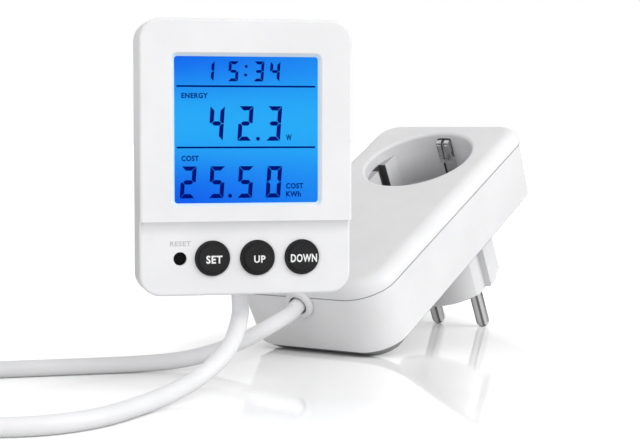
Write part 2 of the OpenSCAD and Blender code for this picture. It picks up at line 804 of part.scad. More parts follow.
module display_rear() {
    pocket_h = pocket_top - pocket_low;
    pivot_reach = pocket_x + stand_pivot_l + 2 * pivot_gap;
    color("white") at_display() difference() {
        union() {
            difference() {
                display_outline(front_t, display_t, seam, back_edge_r);
                display_inside(front_t - cut, display_t - display_wall);
            }
            translate([-pocket_x - pocket_wall, pocket_y - pocket_wall, pocket_low - pocket_wall])
                cube([2 * (pocket_x + pocket_wall), pocket_t, pocket_h + 2 * pocket_wall]);
            at_display_posts(front_t) cylinder(r = rear_post_r, h = display_t - display_wall - front_t);
        }
        translate([-pocket_x, pocket_y, pocket_low]) cube([2 * pocket_x, pocket_t + cut, pocket_h]);
        along_depth(0, pocket_low, display_t - scoop_t) cylinder(r = scoop_r, h = scoop_t + cut);
        translate([-pivot_reach, stand_axis_y, stand_hinge_z]) rotate([0, 90, 0])
            cylinder(d = stand_pivot_d + 2 * pivot_gap, h = 2 * pivot_reach);
        at_display_posts(front_t - cut) cylinder(r = display_screw_r + slip, h = display_t);
        at_display_posts(display_head_y) cylinder(r = display_head_r + pivot_gap, h = display_t);
        translate([0, cord_y, -cut]) cylinder(r = cord_hole_r, h = display_wall + 2 * cut);
    }
}

module rear_stand() {
    reach = pocket_x + stand_pivot_l;
    color("white") at_display() translate([0, stand_axis_y, stand_hinge_z]) {
        translate([-stand_w / 2, -stand_t / 2, -stand_l]) cube([stand_w, stand_t, stand_l]);
        translate([-stand_w / 2, 0, 0]) rotate([0, 90, 0]) cylinder(d = stand_t, h = stand_w);
        translate([-reach, 0, 0]) rotate([0, 90, 0]) cylinder(d = stand_pivot_d, h = 2 * reach);
    }
}

module screen_window() {
    lap = lens_lap - lens_gap;
    color("lightblue", 0.4) at_display() translate([0, display_wall, window_mid]) rotate([90, 0, 0])
        linear_extrude(display_wall - window_y)
            rounded_rect(window_w + 2 * lap, window_h + 2 * lap, window_corner);
}

module lcd_panel() {
    color("deepskyblue") at_display() translate([-lcd_w / 2, display_wall, lcd_z])
        cube([lcd_w, lcd_t, lcd_h]);
}

module backlight() {
    color("white") at_display() translate([-lcd_w / 2, lcd_back, light_z])
        cube([lcd_w, pcb_y - lcd_back, lcd_z + lcd_h - light_z]);
}

module lcd_frame() {
    depth = pcb_y - display_wall;
    color("whitesmoke") at_display() difference() {
        translate([-lcd_w / 2 - frame_out, display_wall, lcd_z - frame_out])
            cube([lcd_w + 2 * frame_out, depth, lcd_h + frame_out]);
        translate([-lcd_w / 2 - frame_gap, display_wall - cut, lcd_z - frame_gap])
            cube([lcd_w + 2 * frame_gap, depth + 2 * cut, lcd_h + frame_gap + cut]);
    }
}

module contact_strip() {
    color("dimgray") at_display() translate([strip_side - lcd_w / 2, lcd_back, lcd_z])
        cube([lcd_w - 2 * strip_side, pcb_y - lcd_back, strip_h]);
}

module display_board() {
    color("seagreen") at_display() difference() {
        translate([0, pcb_back, display_h / 2]) rotate([90, 0, 0]) linear_extrude(board_t)
            rounded_rect(display_w - 2 * pcb_margin, display_h - 2 * pcb_margin,
                display_corner_r - pcb_margin);
        at_display_posts(pcb_y - cut) cylinder(r = post_r + post_gap, h = board_t + 2 * cut);
    }
}

module driver_chip() {
    color("dimgray") at_display() translate([driver_x - driver_side / 2, pcb_back, cell_z - driver_side / 2])
        cube([driver_side, board_t, driver_side]);
}

module key_switches() {
    color("dimgray") at_display() for (x = key_places) {
        translate([x - switch_side / 2, pcb_y - switch_t, key_z - switch_side / 2])
            cube([switch_side, switch_t, switch_side]);
        along_depth(x, key_z, switch_y) cylinder(r = switch_r, h = pcb_y - switch_t - switch_y);
    }
}

// A key drawn round its own axis: the cap from its face down to a flange behind the panel
module key_shape(cap_r, face, flange_r) {
    rotate_extrude() difference() {
        union() {
            translate([0, face]) square([cap_r, key_flange_y - face]);
            translate([0, key_flange_y]) square([flange_r, key_flange_t]);
        }
        translate([cap_r, face]) rotate(90) fillet_corner(key_edge_r);
    }
}

module large_key(i) {
    color([0.16, 0.16, 0.17]) at_display() along_depth(first_key_x + i * key_pitch, key_z, 0)
        key_shape(key_d / 2, key_face - key_rise, key_flange_r);
}

module set_key() {
    large_key(0);
}

module up_key() {
    large_key(1);
}

module down_key() {
    large_key(2);
}

module reset_key() {
    color([0.1, 0.1, 0.1]) at_display() along_depth(reset_x, key_z, 0)
        key_shape(reset_hole_d / 2 - key_gap, key_face + reset_sink, reset_flange_r);
}

module backup_cell() {
    color("silver") at_display() along_depth(cell_x, cell_z, pcb_back) cylinder(r = cell_r, h = cell_t);
}

module cell_clip() {
    clip_t = 0.4;
    strip_w = 4;
    half = cell_r + 2 * pivot_gap;
    color("silver") at_display() translate([cell_x, pcb_back, cell_z - strip_w / 2]) difference() {
        translate([-half - clip_t, 0, 0]) cube([2 * (half + clip_t), cell_t + clip_t, strip_w]);
        translate([-half, -cut, -cut]) cube([2 * half, cell_t + cut, strip_w + 2 * cut]);
    }
}

module display_screws() {
    color("gray") at_display() {
        at_display_posts(display_head_y) cylinder(r = display_head_r, h = display_head_t);
        at_display_posts(front_t - display_screw_l)
            cylinder(r = display_screw_r, h = display_head_y - front_t + display_screw_l);
    }
}

module display_cord_clamp() {
    color("white") at_display() difference() {
        translate([-cord_clamp_w / 2, pcb_back, cord_clamp_z])
            cube([cord_clamp_w, display_t - display_wall - pcb_back, cord_clamp_h]);
        translate([0, cord_y, cord_clamp_z - cut]) cylinder(r = cord_grip_r, h = cord_clamp_h + 2 * cut);
    }
}

// Cord pieces
module cord_rear_run() {
    color("white") tube(smooth_path(rear_route, route_steps), cord_d / 2, cord_sides);
}

module cord_front_run() {
    color("white") tube(smooth_path(front_route, route_steps), cord_d / 2, cord_sides);
}

module cord_coil() {
    color("white") tube(coil_path, cord_d / 2, coil_sides);
}

module cord_tie() {
    near = coil_r - coil_pitch * (floor(coil_half - 0.25) + 0.25) - cord_d / 2 - tie_gap;
    far = coil_r - coil_pitch * 0.25 + cord_d / 2 + tie_gap;
    inside_h = coil_pitch + cord_d + 2 * tie_gap;
    color("white") translate([coil_x - (near + far) / 2, coil_y + tie_w / 2, tie_t + inside_h / 2])
        rotate([90, 0, 0]) linear_extrude(tie_w) difference() {
            rounded_rect(far - near + 2 * tie_t, inside_h + 2 * tie_t, cord_d / 2 + tie_t);
            rounded_rect(far - near, inside_h, cord_d / 2);
        }
}

adapter_cover();
adapter_base();
plug_insert();
plug_pins();
plug_earth_contacts();
socket_earth_strip();
socket_contacts();
live_bar();
neutral_bar();
metering_board();
shunt();
dropper_capacitor();
smoothing_capacitor();
varistor();
meter_chip();
adapter_screws();
cord_grommet();
adapter_cord_clamp();
display_front();
display_rear();
screen_window();
lcd_panel();
backlight();
lcd_frame();
contact_strip();
display_board();
driver_chip();
key_switches();
set_key();
up_key();
down_key();
reset_key();
backup_cell();
cell_clip();
display_screws();
rear_stand();
display_cord_clamp();
cord_rear_run();
cord_coil();
cord_front_run();
cord_tie();
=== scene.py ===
import json
import math

import bmesh
import bpy
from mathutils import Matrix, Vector


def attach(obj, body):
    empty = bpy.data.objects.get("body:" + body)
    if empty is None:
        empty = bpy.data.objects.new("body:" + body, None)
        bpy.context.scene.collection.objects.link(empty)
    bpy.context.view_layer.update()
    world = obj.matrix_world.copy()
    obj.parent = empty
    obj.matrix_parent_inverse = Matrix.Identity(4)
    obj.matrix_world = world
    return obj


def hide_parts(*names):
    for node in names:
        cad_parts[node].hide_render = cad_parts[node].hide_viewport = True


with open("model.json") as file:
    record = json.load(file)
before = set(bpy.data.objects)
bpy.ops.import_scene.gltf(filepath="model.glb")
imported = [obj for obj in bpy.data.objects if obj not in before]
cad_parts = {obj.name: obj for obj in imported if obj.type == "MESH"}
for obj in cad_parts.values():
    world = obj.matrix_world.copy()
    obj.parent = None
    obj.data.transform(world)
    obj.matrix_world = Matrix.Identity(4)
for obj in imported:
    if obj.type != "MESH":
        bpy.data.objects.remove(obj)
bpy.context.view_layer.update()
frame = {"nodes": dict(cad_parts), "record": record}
nodes = frame["nodes"]
scene = bpy.context.scene
MM = 0.001


# Places in the row frame, from millimetres in the display's and the adapter's own frames
DISPLAY = Vector((-46.7, -75.4, 26.6))
PLUG = Vector((57.3, 54.4, 2.4))
TURN = math.radians(42.5)
LEAN = math.radians(27.1892254)
TIP_TO_COVER = 67.9
ALONG = Vector((math.cos(TURN) * math.cos(LEAN), math.sin(TURN) * math.cos(LEAN), math.sin(LEAN)))
ACROSS = Vector((-math.sin(TURN), math.cos(TURN), 0))
OUT = ALONG.cross(ACROSS)


def at_display(x, y, z):
    return (DISPLAY + Vector((x, y, z))) * MM


def at_adapter(x, y, z):
    return (PLUG + ALONG * x + ACROSS * y + OUT * (z + TIP_TO_COVER)) * MM


SOCKET = at_adapter(0, 0, 0)


# Camera, fitted to the photograph
def make_camera():
    data = bpy.data.cameras.new("camera")
    data.sensor_fit = "HORIZONTAL"
    data.sensor_width = 36
    data.lens = 91.1
    data.clip_start = 0.01
    data.clip_end = 20
    camera = bpy.data.objects.new("camera", data)
    camera.location = (-0.1266, -0.5233, 0.0741)
    camera.rotation_euler = (math.radians(86.72), 0, math.radians(-12.68))
    scene.collection.objects.link(camera)
    scene.camera = camera


make_camera()


def add_mesh(name, verts, faces, smooth=True):
    mesh = bpy.data.meshes.new(name)
    mesh.from_pydata([tuple(v) for v in verts], [], faces)
    mesh.polygons.foreach_set("use_smooth", [smooth] * len(mesh.polygons))
    mesh.update()
    obj = bpy.data.objects.new(name, mesh)
    scene.collection.objects.link(obj)
    return obj


# Cord: one tube from the adapter's grommet over the coil to the display
CORD_D = 5.0
CORD_SIDES = 24
ROUTE_STEPS = 8
COIL_STEPS = 40
COIL_MIDDLE = (-166.0, -81.0)
COIL_R = 37.0
COIL_PITCH = 5.6
COIL_Z = 3.75
COIL_TURNS = 7.5
COIL_LEAD = 6.0
REAR_POINTS = [
    (-34.2, -29.8, 10.6), (-42.8, -32.6, 7.2), (-51.2, -34.4, 4.8), (-60.8, -36, 3.2), (-72.8, -37.2, 2.6),
    (-88, -38, 2.5), (-106, -39, 2.5), (-124, -40.6, 2.6), (-142, -43, 3.2),
]
FRONT_POINTS = [
    (-142, -121, 7), (-132, -127, 4.4), (-120, -132, 2.6), (-106, -132.6, 2.5), (-92.4, -124.8, 2.5),
    (-80, -109, 2.6), (-70.4, -95.8, 3.4), (-62, -85.8, 5.6), (-55, -77.8, 9.2), (-50, -70.2, 13.6),
]
GROMMET_X = -85.0
GROMMET_Z = -7.4
CORD_Y = 12.8
# Ends of the cord: places along the adapter from its grommet, and heights over the display's foot
ADAPTER_END = (15, -2, -7)
DISPLAY_END = (-7, -1, 5, 11)
TUBE_UP = Vector((0.6, -0.7, 0.4))


def smooth_path(points, steps):
    last = len(points) - 1
    path = []
    for i in range(last):
        a, b, c, d = (points[min(max(k, 0), last)] for k in (i - 1, i, i + 1, i + 2))
        for k in range(steps):
            t = k / steps
            path.append(0.5 * (2 * b + (c - a) * t + (2 * a - 5 * b + 4 * c - d) * t ** 2
                               + (3 * b - a - 3 * c + d) * t ** 3))
    return path + [points[last]]


def coil_points(per_turn):
    """In along the lower layer, up at the inner turn, out along the upper layer."""
    half = COIL_TURNS / 2
    found = []
    for i in range(int(COIL_TURNS * per_turn) + 1):
        t = i / per_turn
        r = COIL_R - COIL_PITCH * (half - abs(half - t))
        s = min(max((t - half + 0.25) / 0.5, 0), 1)
        turn = math.radians(90 + 360 * t)
        found.append(Vector((COIL_MIDDLE[0] + r * math.cos(turn), COIL_MIDDLE[1] + r * math.sin(turn),
                             COIL_Z + COIL_PITCH * s * s * (3 - 2 * s))))
    return found


def cord_path():
    coil_in = Vector((COIL_MIDDLE[0] + COIL_LEAD, COIL_MIDDLE[1] + COIL_R, COIL_Z))
    coil_out = Vector((COIL_MIDDLE[0] + COIL_LEAD, COIL_MIDDLE[1] - COIL_R, COIL_Z + COIL_PITCH))
    lead = Vector((COIL_LEAD, 0, 0))
    rear = [at_adapter(GROMMET_X + x, 0, GROMMET_Z) / MM for x in ADAPTER_END]
    rear += [Vector(p) for p in REAR_POINTS] + [coil_in + lead, coil_in]
    front = [coil_out, coil_out + lead] + [Vector(p) for p in FRONT_POINTS]
    front += [at_display(0, CORD_Y, z) / MM for z in DISPLAY_END]
    path = smooth_path(rear, ROUTE_STEPS) + coil_points(COIL_STEPS) + smooth_path(front, ROUTE_STEPS)
    return [p * MM for p in path]


def make_tube(name, path, radius, sides):
    verts, faces = [], []
    up = TUBE_UP
    for i, p in enumerate(path):
        along = (path[min(i + 1, len(path) - 1)] - path[max(i - 1, 0)]).normalized()
        up = (up - along * up.dot(along)).normalized()
        side = along.cross(up)
        for k in range(sides):
            a = 2 * math.pi * k / sides
            verts.append(p + radius * (math.cos(a) * up + math.sin(a) * side))
    for i in range(len(path) - 1):
        for k in range(sides):
            a, b = i * sides + k, i * sides + (k + 1) % sides
            faces.append((a, b, b + sides, a + sides))
    faces.append(tuple(reversed(range(sides))))
    faces.append(tuple(range((len(path) - 1) * sides, len(path) * sides)))
    return add_mesh(name, verts, faces)


path = cord_path()
cord = make_tube("cord", path, CORD_D / 2 * MM, CORD_SIDES)
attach(cord, "housing")
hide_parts("cord_rear_run", "cord_coil", "cord_front_run")


# Screen: a thin lens, and the segments, rules and labels as thin plates in front of the panel
LENS_BOX = (-21.4, 21.4, 25.15, 68.05)
LENS_CORNER = 0.85
LENS_Y = (1.02, 1.85)
SCREEN_Y = 1.94
SCREEN_T = 0.04
SLANT = 0.07
SEGMENTS = {
    "0": "abcdef", "1": "bc", "2": "abged", "3": "abgcd", "4": "fgbc", "5": "afgcd",
}
# Strokes: width of the upright and the level segments, and the gap between segments
SMALL_STROKE = (0.8, 0.82, 0.08)
LARGE_STROKE = (1.15, 1.2, 0.1)
# Rows of digits: digits, left edges, foot, width and height of a digit, strokes
ROWS = [
    ("1534", (-12.06, -5.17, 2.09, 6.68), 60.21, 2.81, 5.6, SMALL_STROKE),
    ("423", [-10.74 + 8.19 * i for i in range(3)], 43.54, 4.04, 9.72, LARGE_STROKE),
    ("2550", [-18.89 + 8.13 * i for i in range(4)], 27.48, 4.2, 8.93, LARGE_STROKE),
]
COLON_X = -4.45
DOTS = [(COLON_X + SLANT * z, z, 0.42) for z in (64.4, 62.0)] + [(3.39, 44.1, 0.55), (-4.65, 28.1, 0.55)]
RULES = (41.69, 58.81)
RULE_X = (-19.7, 19.9)
RULE_HALF = 0.25
RULE_CORNER = 0.2
LETTER_SPACE = 1.1


def plate(parts, outline, y0, y1):
    verts, faces = parts
    first, n = len(verts), len(outline)
    for y in (y0, y1):
        verts += [at_display(x, y, z) for x, z in outline]
    faces.append(tuple(range(first, first + n)))
    faces.append(tuple(reversed(range(first + n, first + 2 * n))))
    for k in range(n):
        a, b = first + k, first + (k + 1) % n
        faces.append((b, a, a + n, b + n))


def ink_plate(parts, outline):
    plate(parts, outline, SCREEN_Y - SCREEN_T, SCREEN_Y)


def rounded_outline(x0, x1, z0, z1, r, steps=8):
    corners = ((x1 - r, z1 - r, 0), (x0 + r, z1 - r, 90), (x0 + r, z0 + r, 180), (x1 - r, z0 + r, 270))
    found = []
    for x, z, start in corners:
        for k in range(steps + 1):
            a = math.radians(start + 90 * k / steps)
            found.append((x + r * math.cos(a), z + r * math.sin(a)))
    return found


def segment_outlines(width, height, upright, level, gap):
    half, w, h = height / 2, width, height
    top = [(gap, h), (w - gap, h), (w - gap - upright, h - level), (gap + upright, h - level)]
    left = [(0, h - gap), (0, half + gap), (upright / 2, half + gap), (upright, half + level / 2 + gap),
            (upright, h - gap - level)]
    bar = [(gap + upright / 2, half), (gap + upright, half + level / 2),
           (w - gap - upright, half + level / 2), (w - gap - upright / 2, half),
           (w - gap - upright, half - level / 2), (gap + upright, half - level / 2)]
    right = [(w - x, z) for x, z in left]
    return {"a": top, "d": [(x, h - z) for x, z in top], "g": bar, "f": left, "b": right,
            "e": [(x, h - z) for x, z in left], "c": [(x, h - z) for x, z in right]}


def add_digit(parts, digit, x, z, width, height, strokes):
    shapes = segment_outlines(width, height, *strokes)
    for name in SEGMENTS[digit]:
        ink_plate(parts, [(x + u + SLANT * w, z + w) for u, w in shapes[name]])


def add_dot(parts, x, z, r):
    turns = [math.pi * k / 10 for k in range(20)]
    ink_plate(parts, [(x + r * math.cos(a), z + r * math.sin(a)) for a in turns])


def make_digits():
    parts = ([], [])
    for text, lefts, foot, width, height, strokes in ROWS:
        for digit, x in zip(text, lefts):
            add_digit(parts, digit, x, foot, width, height, strokes)
    for dot in DOTS:
        add_dot(parts, *dot)
    for z in RULES:
        ink_plate(parts, rounded_outline(*RULE_X, z - RULE_HALF, z + RULE_HALF, RULE_CORNER, steps=3))
    return add_mesh("lcd_digits", *parts, smooth=False)


def lettering(name, words, y, thick, weight):
    """Raised plain words, each stretched to its box (x0, x1, z0, z1) on the plane y of the display."""
    verts, faces = [], []
    for word, (x0, x1, z0, z1) in words:
        curve = bpy.data.curves.new(name, "FONT")
        curve.body = word
        curve.offset = weight
        curve.space_character = LETTER_SPACE
        curve.resolution_u = 3
        text = bpy.data.objects.new(name, curve)
        mesh = bpy.data.meshes.new_from_object(text)
        flat = [v.co for v in mesh.vertices]
        low = [min(v[i] for v in flat) for i in (0, 1)]
        high = [max(v[i] for v in flat) for i in (0, 1)]
        shape = bmesh.new()
        shape.from_mesh(mesh)
        bmesh.ops.remove_doubles(shape, verts=shape.verts, dist=1e-5)
        raised = bmesh.ops.extrude_face_region(shape, geom=shape.faces[:])
        for v in raised["geom"]:
            if isinstance(v, bmesh.types.BMVert):
                v.co.z += 1
        shape.verts.index_update()
        first = len(verts)
        for v in shape.verts:
            u = (v.co.x - low[0]) / (high[0] - low[0])
            w = (v.co.y - low[1]) / (high[1] - low[1])
            verts.append(at_display(x0 + (x1 - x0) * u, y - thick * v.co.z, z0 + (z1 - z0) * w))
        faces += [tuple(first + v.index for v in face.verts) for face in shape.faces]
        shape.free()
        bpy.data.meshes.remove(mesh)
        bpy.data.objects.remove(text)
        bpy.data.curves.remove(curve)
    return add_mesh(name, verts, faces, smooth=False)


def make_lens():
    parts = ([], [])
    plate(parts, rounded_outline(*LENS_BOX, LENS_CORNER), *LENS_Y)
    lens = add_mesh("window_lens", *parts, smooth=False)
    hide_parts("screen_window")
    return lens


# Cove between the key panel and the screen section
KEY_FACE = 2.2
STEP_Z = 21.0
COVE_H = 4.0
COVE_D = 1.6
COVE_X = 29.3
COVE_STEPS = 16


def make_cove():
    """Hollow curve from the key panel up to the step under the screen section."""
    radius = (COVE_H ** 2 + COVE_D ** 2) / (2 * COVE_D)
    sweep = math.asin(COVE_H / radius)
    profile = []
    for k in range(COVE_STEPS + 1):
        a = sweep * k / COVE_STEPS
        profile.append((KEY_FACE - radius + radius * math.cos(a), STEP_Z - COVE_H + radius * math.sin(a)))
    profile.append((KEY_FACE, STEP_Z))
    n = len(profile)
    verts = [at_display(x, y, z) for x in (-COVE_X, COVE_X) for y, z in profile]
    faces = [tuple(range(n)), tuple(reversed(range(n, 2 * n)))]
    faces += [((k + 1) % n, k, k + n, (k + 1) % n + n) for k in range(n)]
    return add_mesh("display_cove", verts, faces, smooth=False)


# Words: plane, thickness and weight of the letters
LABEL_TYPE = (SCREEN_Y, SCREEN_T, 0.035)
PANEL_TYPE = (2.21, 0.03, 0.035)
LEGEND_TYPE = (0.91, 0.04, 0.03)
lens = make_lens()
cove = make_cove()
digits = make_digits()
labels = lettering("lcd_labels", [
    ("ENERGY", (-18.28, -10.82, 55.43, 56.95)), ("W", (11.43, 13.1, 43.59, 45.31)),
    ("COST", (-18.37, -13.45, 37.86, 39.43)), ("COST", (11.42, 16.41, 29.97, 31.56)),
    ("KWh", (11.41, 15.71, 27.65, 29.25)),
], *LABEL_TYPE)
reset_word = lettering("reset_word", [("RESET", (-21.67, -15.73, 14.01, 15.47))], *PANEL_TYPE)
legends = {
    "set_key": lettering("set_legend", [("SET", (-11.63, -7.02, 9.08, 11.36))], *LEGEND_TYPE),
    "up_key": lettering("up_legend", [("UP", (2.02, 5.28, 9.11, 11.18))], *LEGEND_TYPE),
    "down_key": lettering("down_legend", [("DOWN", (12.6, 20.2, 9.06, 11.42))], *LEGEND_TYPE),
}
for piece in (lens, cove, digits, labels, reset_word):
    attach(piece, "housing")
for key, piece in legends.items():
    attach(piece, key)


# Shader helpers. The sockets of a mix node, for numbers and for colours:
NUMBER_A, NUMBER_B, NUMBER_OUT = 2, 3, 0
COLOUR_A, COLOUR_B, COLOUR_OUT = 6, 7, 2


def material(name):
    made = bpy.data.materials.new(name)
    made.use_nodes = True
    tree = made.node_tree
    shader = tree.nodes["Principled BSDF"]
    return made, tree, shader


def surface_point(tree):
    return tree.nodes.new("ShaderNodeTexCoord").outputs["Object"]


def noise(tree, scale, detail=2.0, stretch=None):
    place = surface_point(tree)
    if stretch:
        mapping = tree.nodes.new("ShaderNodeMapping")
        mapping.inputs["Scale"].default_value = stretch
        tree.links.new(place, mapping.inputs["Vector"])
        place = mapping.outputs["Vector"]
    texture = tree.nodes.new("ShaderNodeTexNoise")
    texture.inputs["Scale"].default_value = scale
    texture.inputs["Detail"].default_value = detail
    tree.links.new(place, texture.inputs["Vector"])
    return texture.outputs["Fac"]


def spread(tree, value, low, high, start=0.3, end=0.7):
    """Runs from low to high while the value runs from start to end."""
    node = tree.nodes.new("ShaderNodeMapRange")
    for socket, number in (("From Min", start), ("From Max", end), ("To Min", low), ("To Max", high)):
        node.inputs[socket].default_value = number
    tree.links.new(value, node.inputs["Value"])
    return node.outputs["Result"]


def past(tree, value, start, end):
    """From 0 to 1 while the value runs from start to end, in millimetres."""
    return spread(tree, value, 0, 1, start * MM, end * MM)


def short_of(tree, value, start, end):
    """From 1 to 0 while the value runs from start to end, in millimetres."""
    return spread(tree, value, 1, 0, start * MM, end * MM)


def calculate(tree, operation, first, second=None):
    node = tree.nodes.new("ShaderNodeMath")
    node.operation = operation
    for socket, value in zip(node.inputs, (first, second)):
        if isinstance(value, (int, float)):
            socket.default_value = value
        elif value is not None:
            tree.links.new(value, socket)
    return node.outputs[0]


def all_of(tree, first, *rest):
    for part in rest:
        first = calculate(tree, "MULTIPLY", first, part)
    return first


def vector_step(tree, operation, vector, other=None):
    node = tree.nodes.new("ShaderNodeVectorMath")
    node.operation = operation
    tree.links.new(vector, node.inputs[0])
    if other is not None:
        node.inputs[1].default_value = other
    return node.outputs["Value" if operation in ("LENGTH", "DOT_PRODUCT") else "Vector"]


def height_over(tree, direction, point):
    """Distance of a surface point along a direction from a given point, in metres."""
    along = vector_step(tree, "DOT_PRODUCT", surface_point(tree), direction)
    return calculate(tree, "SUBTRACT", along, point.dot(direction))


def distance_from_axis(tree, axis, point):
    moved = vector_step(tree, "SUBTRACT", surface_point(tree), point)
    return vector_step(tree, "LENGTH", vector_step(tree, "CROSS_PRODUCT", moved, axis))


def two_tone(tree, value, dark, light):
    ramp = tree.nodes.new("ShaderNodeValToRGB")
    ramp.color_ramp.elements[0].position = 0.3
    ramp.color_ramp.elements[0].color = (*dark, 1)
    ramp.color_ramp.elements[1].position = 0.7
    ramp.color_ramp.elements[1].color = (*light, 1)
    tree.links.new(value, ramp.inputs["Fac"])
    return ramp.outputs["Color"]


def grey_ramp(tree, value, stops, blue=1.0, interpolation="LINEAR"):
    """Greys at the given stops (place, level), with the blue channel multiplied."""
    ramp = tree.nodes.new("ShaderNodeValToRGB")
    ramp.color_ramp.interpolation = interpolation
    while len(ramp.color_ramp.elements) < len(stops):
        ramp.color_ramp.elements.new(0.5)
    for element, (at, level) in zip(ramp.color_ramp.elements, stops):
        element.position = at
        element.color = (level, level, level * blue, 1)
    tree.links.new(value, ramp.inputs["Fac"])
    return ramp.outputs["Color"]


def tinted(tree, factor, under, tone):
    mix = tree.nodes.new("ShaderNodeMix")
    mix.data_type = "RGBA"
    tree.links.new(factor, mix.inputs["Factor"])
    tree.links.new(under, mix.inputs[COLOUR_A])
    mix.inputs[COLOUR_B].default_value = (*tone, 1)
    return mix.outputs[COLOUR_OUT]


def bump(tree, shader, value, depth):
    node = tree.nodes.new("ShaderNodeBump")
    node.inputs["Strength"].default_value = 1
    node.inputs["Distance"].default_value = depth
    tree.links.new(value, node.inputs["Height"])
    tree.links.new(node.outputs["Normal"], shader.inputs["Normal"])


# Materials. Scale and detail of the noise in a colour, in a roughness and along drawn metal:
CLOUDS = (60, 3)
PATCHES = (900, 3)
DRAWN_LINES = (1500, 3)
MOULDED_RANGE = 0.05
METAL_RANGE = 0.07


def cloudy(tree, dark, light):
    return two_tone(tree, noise(tree, *CLOUDS), dark, light)


def set_roughness(tree, shader, value, low, high):
    tree.links.new(spread(tree, value, low, high), shader.inputs["Roughness"])


def finish_moulded(tree, shader, colour, rough, grain=2600, depth=6e-6, specular=0.3):
    tree.links.new(colour, shader.inputs["Base Color"])
    set_roughness(tree, shader, noise(tree, *PATCHES), rough - MOULDED_RANGE, rough + MOULDED_RANGE)
    bump(tree, shader, noise(tree, grain, 2), depth)
    shader.inputs["Specular IOR Level"].default_value = specular


def moulded(name, dark, light, rough, **finish):
    made, tree, shader = material(name)
    finish_moulded(tree, shader, cloudy(tree, dark, light), rough, **finish)
    return made


def metal(name, dark, light, rough, stretch, depth=4e-6):
    made, tree, shader = material(name)
    lines = noise(tree, *DRAWN_LINES, stretch)
    tree.links.new(two_tone(tree, lines, dark, light), shader.inputs["Base Color"])
    set_roughness(tree, shader, lines, rough - METAL_RANGE, rough + METAL_RANGE)
    bump(tree, shader, lines, depth)
    shader.inputs["Metallic"].default_value = 1
    return made


WHITE = ((0.80, 0.80, 0.81), (0.84, 0.84, 0.85))
SHELL_ROUGH = 0.38
KEY_FINISH = {"grain": 3500, "depth": 1.2e-5, "specular": 0.35}
RESET_FINISH = {"grain": 3500, "depth": 1.2e-5, "specular": 0.15}
CORD_FINISH = {"grain": 1800, "depth": 8e-6}
looks = {
    "white_shell": moulded("white_shell", *WHITE, SHELL_ROUGH),
    "key_dark": moulded("key_dark", (0.013, 0.013, 0.014), (0.019, 0.019, 0.021), 0.5, **KEY_FINISH),
    "light_guide": moulded("light_guide", (0.72, 0.80, 0.86), (0.78, 0.86, 0.92), 0.2),
    "pin_metal": metal("pin_metal", (0.58, 0.58, 0.59), (0.68, 0.68, 0.69), 0.16, (1, 1, 0.1), 2e-6),
    "contact_brass": metal("contact_brass", (0.55, 0.36, 0.12), (0.70, 0.49, 0.20), 0.25, (1, 1, 0.2)),
    "board_green": moulded("board_green", (0.006, 0.06, 0.025), (0.015, 0.10, 0.045), 0.35),
    "chip_black": moulded("chip_black", (0.006, 0.006, 0.006), (0.012, 0.012, 0.012), 0.5),
    "capacitor_yellow": moulded("capacitor_yellow", (0.50, 0.28, 0.02), (0.60, 0.36, 0.04), 0.35),
    "capacitor_sleeve": moulded("capacitor_sleeve", (0.006, 0.008, 0.03), (0.012, 0.014, 0.045), 0.3),
    "varistor_blue": moulded("varistor_blue", (0.01, 0.04, 0.25), (0.02, 0.06, 0.33), 0.3),
    "rubber_strip": moulded("rubber_strip", (0.03, 0.03, 0.035), (0.05, 0.05, 0.055), 0.7),
    "screw_steel": metal("screw_steel", (0.32, 0.32, 0.33), (0.45, 0.45, 0.46), 0.3, (1, 1, 1)),
    "cord_white": moulded("cord_white", *WHITE, 0.34, **CORD_FINISH),
}
segment_ink = moulded("segment_ink", (0.0006, 0.0105, 0.27), (0.001, 0.0125, 0.32), 0.5, specular=0)
label_ink = moulded("label_ink", (0.001, 0.03, 0.33), (0.0015, 0.036, 0.36), 0.5, specular=0)
legend_ink = moulded("legend_ink", (0.80, 0.80, 0.80), (0.88, 0.88, 0.88), 0.5)
# Reset key: darker than the other keys, partly its own dark colour and partly painted shade for the sunk
# hole it sits in
reset_dark = moulded("reset_dark", (0.004, 0.004, 0.004), (0.007, 0.007, 0.007), 0.6, **RESET_FINISH)
grey_ink = moulded("grey_ink", (0.52, 0.52, 0.53), (0.56, 0.56, 0.57), 0.5)

# Painted shade: tones for the places where little light gets in, and a painted glow from the screen
DEEP_SHADE_TONE = (0.5, 0.5, 0.52)
LEDGE_SHADE_TONE = (0.42, 0.42, 0.43)
GUIDE_SHADE_TONE = (0.1, 0.1, 0.1)
BLACK_SHADE_TONE = (0.03, 0.03, 0.03)
SEAM_SHADE_TONE = (0.36, 0.36, 0.37)
CHAMFER_SHADE_TONE = (0.30, 0.30, 0.31)
PAINTED_GLOW_TONE = (0.62, 0.80, 0.95)
# Soft edges of those tones in millimetres: heights over the socket's rim, or distances from its middle
RECESS_FLOOR = (-17, -7)
LEDGE_TOP = (-3.5, -2.5)
GUIDE_SIDE = (2.55, 2.65)
GUIDE_INNER = (16.2, 16.4)
GUIDE_OUTER = (20, 20.4)
GUIDE_TOP = (-4.5, -4)
CLIP_INNER = (19.6, 20)
CLIP_OUTER = (24, 24.5)
CLIP_TOP = (-2, -1.6)
SEAM_FOOT = (-5.46, -5.42)
CHAMFER_TOP = (-25.9, -25.6)
PIN_END = (-69.9, -69.2)
# How nearly level a ledge is, as the cosine of its tilt
LEDGE_LEVEL = (0.9, 0.97)


